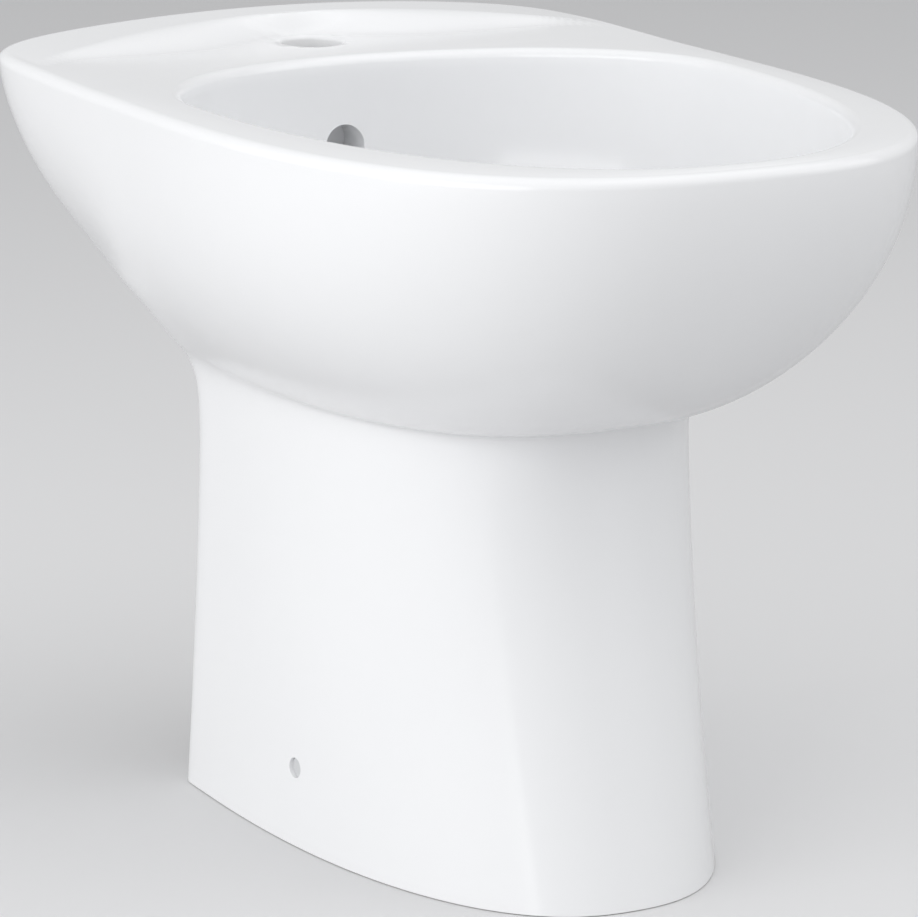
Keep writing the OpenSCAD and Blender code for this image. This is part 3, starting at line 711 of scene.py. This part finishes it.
profile = [(0, 0.2545), (0.0036, 0.2545), (0.00405, 0.2550), (0.00405, 0.2640), (0.0035, 0.2645)]
profile += [(0.0035, 0.2655), (0.00405, 0.2660), (0.00405, 0.2774), (0.0037, 0.2778)]
profile += [(0.0025, 0.2778), (0.0025, 0.2804), (0.0021, 0.2808), (0, 0.2808)]
stem = tooled(lathe("stem", profile, 72, (*WASTE, 0)), brass.material)
shade(stem, 35)
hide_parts("plug_stem")
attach(stem, "plug")

zinc = Finish("zinc_steel", Metallic=1.0)
spot = zinc.node("TexCoord", out=3)
spangle = zinc.node("TexVoronoi", Vector=spot, Scale=420.0)
cloud = zinc.node("TexNoise", Vector=spot, Scale=130.0, Detail=4.0)
tint = zinc.node("ValToRGB", {"stops": [(0.25, (0.50, 0.52, 0.54)), (0.75, (0.68, 0.69, 0.70))]},
                 Fac=cloud)
zinc.feed(Base_Color=tint, Roughness=0.24 + spangle * 0.22,
          Normal=zinc.node("Bump", Strength=0.15, Distance=0.0002, Height=cloud))

coil_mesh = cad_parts["plug_spring"].data.copy()
coil_mesh.materials.clear()
bm = bmesh.new()
bm.from_mesh(coil_mesh)
bmesh.ops.remove_doubles(bm, verts=bm.verts, dist=1e-6)
bm.to_mesh(coil_mesh)
bm.free()
coil = tooled(new_piece("coil_spring", coil_mesh), zinc.material)
shade(coil, 50)
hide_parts("plug_spring")
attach(coil, "base")
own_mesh(coil)

# ---------------------------------------------------------------------------
# Plug: a spun and chromed brass cap with a rubber lip seal below it. It sits
# a finger's width above the flange and is pressed down to close the waste.
# ---------------------------------------------------------------------------
CAP_R, CAP_RISE, CAP_TOP = 0.030, 0.003, 0.2828
dome = (CAP_R ** 2 + CAP_RISE ** 2) / (2 * CAP_RISE)
profile = [(0, 0.2808), (0.00255, 0.2808), (0.00255, 0.2782), (0.0032, 0.2778), (0.0245, 0.2778)]
profile += [(0.0250, 0.2784), (0.0262, 0.2784), (0.0267, 0.2779), (0.0287, 0.2778)]
profile += arc(0.0289, 0.2789, 0.0011, -80, 68, 9)
profile += [(r, CAP_TOP - dome + math.sqrt(dome ** 2 - r ** 2)) for r in np.linspace(0.0285, 0.0015, 20)]
profile.append((0, CAP_TOP))
cap = tooled(lathe("chrome_cap", profile, 120, (*WASTE, 0)), chrome.material)
shade(cap, 35)
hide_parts("plug_cap")
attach(cap, "plug")

lip = [(0.02205, 0.2778), (0.02205, 0.2757), (0.0224, 0.2753), (0.0240, 0.2753), (0.0246, 0.2756)]
lip += [(0.02495, 0.2762), (0.02495, 0.2766), (0.0243, 0.2769), (0.0243, 0.2772), (0.02495, 0.2775)]
lip.append((0.02495, 0.2778))
seal = tooled(lathe("lip_seal", lip, 96, (*WASTE, 0)), rubber.material)
shade(seal, 50)
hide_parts("plug_seal")
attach(seal, "plug")

# ---------------------------------------------------------------------------
# Floor fixings: moulded plastic brackets inside the pedestal, one a side,
# with a hexagon pocket each for the steel nut that takes the side screw. They
# keep the form of the CAD, with soft edges.
# ---------------------------------------------------------------------------
for name, node in (("left_floor_bracket", "bracket_left"), ("right_floor_bracket", "bracket_right")):
    bm = bmesh.new()
    bm.from_mesh(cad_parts[node].data)
    bmesh.ops.remove_doubles(bm, verts=bm.verts, dist=2e-6)
    bmesh.ops.dissolve_limit(bm, angle_limit=math.radians(1), verts=bm.verts, edges=bm.edges)
    mesh = bpy.data.meshes.new(name)
    bm.to_mesh(mesh)
    bm.free()
    bracket = tooled(new_piece(name, mesh), nylon.material)
    soften(bracket, 0.0007)
    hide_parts(node)
    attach(bracket, "base")


def refinish(node, finish):
    """Gives a CAD node that keeps its own shape a better material."""
    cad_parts[node].data.materials.clear()
    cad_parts[node].data.materials.append(finish)


refinish("bracket_nuts", zinc.material)

# ---------------------------------------------------------------------------
# Side fixings: a plastic sleeve lines each hole in the china, a zinc plated
# screw goes through it to the bracket, and a grey cap covers its head.
# ---------------------------------------------------------------------------
refinish("side_sleeves", nylon.material)
refinish("side_screws", zinc.material)

grey = Finish("grey_cap", IOR=1.46)
spot = grey.node("TexCoord", out=3)
flow = grey.node("TexNoise", Vector=spot, Scale=180.0, Detail=3.0)
grain = grey.node("TexNoise", Vector=spot, Scale=1500.0, Detail=2.0)
tint = grey.node("ValToRGB", {"stops": [(0.3, (0.60, 0.61, 0.62)), (0.7, (0.66, 0.67, 0.68))]},
                 Fac=flow)
grey.feed(Base_Color=tint, Roughness=0.38 + flow * 0.12,
          Normal=grey.node("Bump", Strength=0.15, Distance=0.0001, Height=grain))
low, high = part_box("cover_caps")
cap_r, cap_y, cap_z = (high.y - low.y) / 2, (high.y + low.y) / 2, (high.z + low.z) / 2
CAP_DEEP = 0.0025
face = [(0, 0), (cap_r - 0.0003, 0), (cap_r, 0.0003), (cap_r, 0.0018), (cap_r - 0.0004, 0.0023)]
face += [(cap_r * 0.7, 0.00245), (0, CAP_DEEP)]
bm = bmesh.new()
for side in (-1, 1):
    disc = lathe("disc", face, 48, axis="X")
    mesh = disc.data
    if side < 0:
        mesh.transform(Matrix.Rotation(math.pi, 4, "Z"))
    mesh.transform(Matrix.Translation((side * (high.x - CAP_DEEP), cap_y, cap_z)))
    bm.from_mesh(mesh)
    bpy.data.objects.remove(disc)
mesh = bpy.data.meshes.new("screw_covers")
bm.to_mesh(mesh)
bm.free()
covers = tooled(new_piece("screw_covers", mesh), grey.material)
shade(covers, 40)
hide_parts("cover_caps")
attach(covers, "base")

# ---------------------------------------------------------------------------
# Floor and light: a plain pale floor under a pale sky, with large soft
# lights on the left and overhead and weaker ones behind left and on the right.
# ---------------------------------------------------------------------------
bm = bmesh.new()
bmesh.ops.create_grid(bm, x_segments=8, y_segments=8, size=12)
mesh = bpy.data.meshes.new("floor")
bm.to_mesh(mesh)
bm.free()
floor = new_piece("floor", mesh)
floor.data.transform(Matrix.Translation((0, 0, -0.0005)))
# Paler to the camera than to the object, which gets little light from below
floor_paint = Finish("pale_floor", Roughness=0.7)
seen = floor_paint.node("LightPath")
tone = floor_paint.node("ValToRGB", {"stops": [(0.0, (0.58, 0.58, 0.585)), (1.0, (0.74, 0.74, 0.745))]},
                        Fac=seen)
floor.data.materials.append(floor_paint.feed(Base_Color=tone))

world = bpy.data.worlds.new("studio")
scene.world = world
world.use_nodes = True
world.node_tree.nodes["Background"].inputs["Color"].default_value = (0.985, 0.99, 1.0, 1)
world.node_tree.nodes["Background"].inputs["Strength"].default_value = 0.60


def soft_light(name, place, aim, size, power):
    """A large rectangular lamp at a place, turned to the point that it lights."""
    lamp = bpy.data.objects.new(name, bpy.data.lights.new(name, "AREA"))
    lamp.data.shape, lamp.data.size, lamp.data.size_y = "RECTANGLE", *size
    lamp.data.energy = power
    lamp.location = place
    lamp.rotation_euler = (Vector(aim) - Vector(place)).to_track_quat("-Z", "Y").to_euler()
    scene.collection.objects.link(lamp)


soft_light("left", (-2.19, -0.80, 0.83), (0, 0, 0.25), (2.4, 1.5), 27)
soft_light("left_back", (-2.04, 0.95, 1.07), (0, 0, 0.25), (2.0, 1.5), 6)
soft_light("above", (0.05, -0.2, 2.4), (0, 0, 0.25), (3.6, 3.2), 8)
soft_light("right_above", (1.2, -0.9, 2.2), (0, 0.1, 0.35), (2.8, 2.8), 18)
soft_light("right", (1.95, -1.13, 1.07), (0, 0, 0.25), (1.6, 1.5), 5.5)
